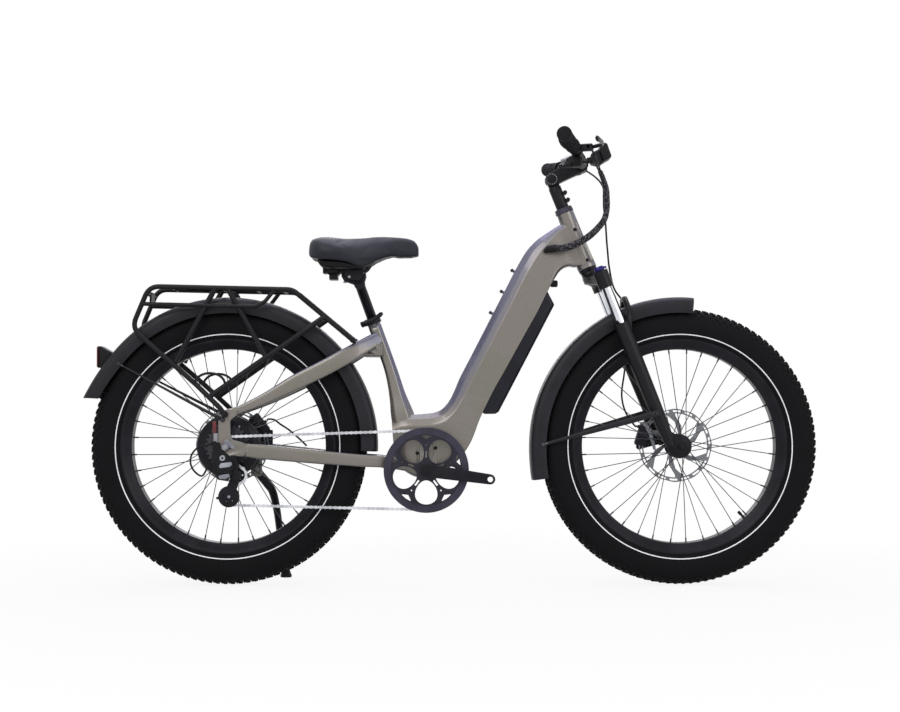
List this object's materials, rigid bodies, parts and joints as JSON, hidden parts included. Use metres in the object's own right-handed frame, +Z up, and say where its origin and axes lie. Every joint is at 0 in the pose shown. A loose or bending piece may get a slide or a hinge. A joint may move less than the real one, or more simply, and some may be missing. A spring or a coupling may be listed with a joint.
{
  "type": "electric bicycle",
  "caption": "Step-through electric bicycle with fat knobby tyres, suspension fork, hub motor, tilting in-frame battery, fenders, rear rack and adjustable handlebar stem.",
  "frame": {"origin": "on the ground, midway between the two ends of the bicycle, in its middle plane", "axes": "+X forwards, +Y to the rider's left, +Z up"},
  "size_m": [1.9639, 0.7084, 1.1846],
  "materials": {
    "frame_paint": "warm silver-bronze metallic paint, satin",
    "black_paint": "satin black paint",
    "black_plastic": "fine-grained matte black plastic",
    "gloss_black": "black plastic with a soft gloss",
    "black_alloy": "black anodised, satin",
    "chrome": "polished",
    "steel": "bright zinc-plated steel",
    "tyre": "matte black rubber with a white reflective stripe",
    "rubber": "matte black rubber",
    "cover": "smooth black vinyl saddle cover",
    "violet_anodised": "blue-violet anodised",
    "red_lens": "red translucent lens"
  },
  "bodies": {
    "frame": {"main_frame": "frame_paint", "rear_triangle": "frame_paint", "headset_upper": "black_alloy", "headset_lower": "black_alloy", "bottom_bracket": "steel", "seat_clamp": "black_alloy", "rear_rack": "black_paint", "rear_fender": "black_plastic", "tail_light": "red_lens", "rear_brake_caliper": "black_alloy", "rear_brake_hose": "rubber", "derailleur_body": "black_alloy", "shift_cable": "rubber", "chain": "steel", "cable_loom": "rubber", "rear_axle": "steel"},
    "battery": {"battery_pack": "gloss_black"},
    "seat": {"seatpost": "black_alloy", "saddle_clamp": "black_alloy", "saddle_base": "black_plastic", "saddle_cushion": "cover"},
    "seat_lever": {"seat_clamp_lever": "black_alloy"},
    "steering": {"fork_upper": "chrome", "stem_riser": "black_paint"},
    "knob": {"lockout_knob": "violet_anodised"},
    "stem": {"stem_arm": "black_paint", "handlebar": "black_paint", "left_grip": "rubber", "right_grip": "rubber", "headlight": "black_plastic", "display": "gloss_black", "left_brake_perch": "black_alloy", "right_brake_perch": "black_alloy", "shifter_body": "black_plastic", "throttle_body": "black_plastic"},
    "left_brake": {"left_brake_lever": "black_alloy"},
    "right_brake": {"right_brake_lever": "black_alloy"},
    "throttle": {"thumb_throttle": "black_plastic"},
    "shift": {"shift_lever": "black_plastic"},
    "lowers": {"fork_lowers": "black_paint", "front_fender": "black_plastic", "front_brake_caliper": "black_alloy", "front_brake_hose": "rubber", "front_axle": "steel"},
    "front_wheel": {"front_tyre": "tyre", "front_rim": "black_alloy", "front_hub": "black_alloy", "front_rotor": "steel"},
    "rear_wheel": {"rear_tyre": "tyre", "rear_rim": "black_alloy", "rear_hub_motor": "black_alloy", "rear_rotor": "steel"},
    "cranks": {"chainring": "black_alloy", "crank_right": "black_alloy", "crank_left": "black_alloy"},
    "freewheel": {"freewheel": "steel"},
    "cage": {"derailleur_cage": "black_alloy"},
    "guide": {"guide_pulley": "black_plastic"},
    "tension": {"tension_pulley": "black_plastic"},
    "stand": {"kickstand": "black_paint"}
  },
  "joints": [
    {"name": "steering", "type": "hinge", "parent": "frame", "child": "steering", "pos_m": [0.36944, 0, 0.84881], "axis": [-0.3746, 0, 0.9272], "range_deg": [-60, 60], "deforming": ["cable_loom"]},
    {"name": "fork_travel", "type": "slide", "parent": "steering", "child": "lowers", "axis": [-0.3746, 0, 0.9272], "range_m": [0, 0.08], "stiffness_N_per_m": 8000, "springref_m": -0.03, "deforming": ["front_brake_hose"]},
    {"name": "lockout", "type": "hinge", "parent": "steering", "child": "knob", "pos_m": [0.41439, -0.078, 0.79094], "axis": [-0.3746, 0, 0.9272], "range_deg": [0, 90]},
    {"name": "stem_tilt", "type": "hinge", "parent": "steering", "child": "stem", "pos_m": [0.27297, 0, 1.08756], "axis": [0, 1, 0], "range_deg": [-45, 15], "deforming": ["cable_loom", "front_brake_hose"]},
    {"name": "left_brake_squeeze", "type": "hinge", "parent": "stem", "child": "left_brake", "pos_m": [0.36246, 0.20536, 1.14664], "axis": [0, -0.0995, 0.995], "range_deg": [0, 16], "stiffness_Nm_per_rad": 2, "springref_deg": -17.19},
    {"name": "right_brake_squeeze", "type": "hinge", "parent": "stem", "child": "right_brake", "pos_m": [0.36246, -0.20536, 1.14664], "axis": [0, -0.0995, -0.995], "range_deg": [0, 16], "stiffness_Nm_per_rad": 2, "springref_deg": -17.19},
    {"name": "throttle_push", "type": "hinge", "parent": "stem", "child": "throttle", "pos_m": [0.32783, 0.16618, 1.14272], "axis": [0.2379, -0.9665, -0.0966], "range_deg": [0, 35], "stiffness_Nm_per_rad": 0.3, "springref_deg": -17.19},
    {"name": "shift_push", "type": "hinge", "parent": "stem", "child": "shift", "pos_m": [0.3266, -0.16679, 1.10258], "axis": [0, -0.0995, -0.995], "range_deg": [0, 25], "stiffness_Nm_per_rad": 0.5, "springref_deg": -17.19},
    {"name": "front_wheel_roll", "type": "hinge", "parent": "lowers", "child": "front_wheel", "pos_m": [0.6125, 0, 0.37], "axis": [0, 1, 0], "continuous": true},
    {"name": "rear_wheel_roll", "type": "hinge", "parent": "frame", "child": "rear_wheel", "pos_m": [-0.5935, 0, 0.37], "axis": [0, 1, 0], "continuous": true},
    {"name": "crank_spin", "type": "hinge", "parent": "frame", "child": "cranks", "pos_m": [-0.064, 0, 0.308], "axis": [0, 1, 0], "continuous": true, "deforming": ["chain"]},
    {"name": "freewheel_spin", "type": "hinge", "parent": "frame", "child": "freewheel", "pos_m": [-0.5935, 0, 0.37], "axis": [0, 1, 0], "continuous": true, "deforming": ["chain"]},
    {"name": "cage_swing", "type": "hinge", "parent": "frame", "child": "cage", "pos_m": [-0.5632, -0.0747, 0.295], "axis": [0, 1, 0], "range_deg": [-30, 10], "stiffness_Nm_per_rad": 0.6, "springref_deg": 17.19, "deforming": ["chain"]},
    {"name": "guide_pulley_spin", "type": "hinge", "parent": "cage", "child": "guide", "pos_m": [-0.5632, -0.0747, 0.295], "axis": [0, 1, 0], "continuous": true, "deforming": ["chain"]},
    {"name": "tension_pulley_spin", "type": "hinge", "parent": "cage", "child": "tension", "pos_m": [-0.5853, -0.0747, 0.2385], "axis": [0, 1, 0], "continuous": true, "deforming": ["chain"]},
    {"name": "seat_height", "type": "slide", "parent": "frame", "child": "seat", "axis": [-0.342, 0, 0.9397], "range_m": [-0.04, 0.1]},
    {"name": "seat_lever_open", "type": "hinge", "parent": "frame", "child": "seat_lever", "pos_m": [-0.23536, -0.0148, 0.69721], "axis": [0.342, 0, -0.9397], "range_deg": [0, 120]},
    {"name": "battery_tilt", "type": "hinge", "parent": "frame", "child": "battery", "pos_m": [0.05887, 0, 0.47337], "axis": [0, 1, 0], "range_deg": [0, 11]},
    {"name": "stand_fold", "type": "hinge", "parent": "frame", "child": "stand", "pos_m": [-0.53, 0.0985, 0.296], "axis": [0, 1, 0], "range_deg": [0, 80]}
  ],
  "couplings": [
    {"joint": "freewheel_spin", "follows": "crank_spin", "ratio": 4},
    {"joint": "guide_pulley_spin", "follows": "crank_spin", "ratio": -4.7273},
    {"joint": "tension_pulley_spin", "follows": "crank_spin", "ratio": 4.7273}
  ]
}
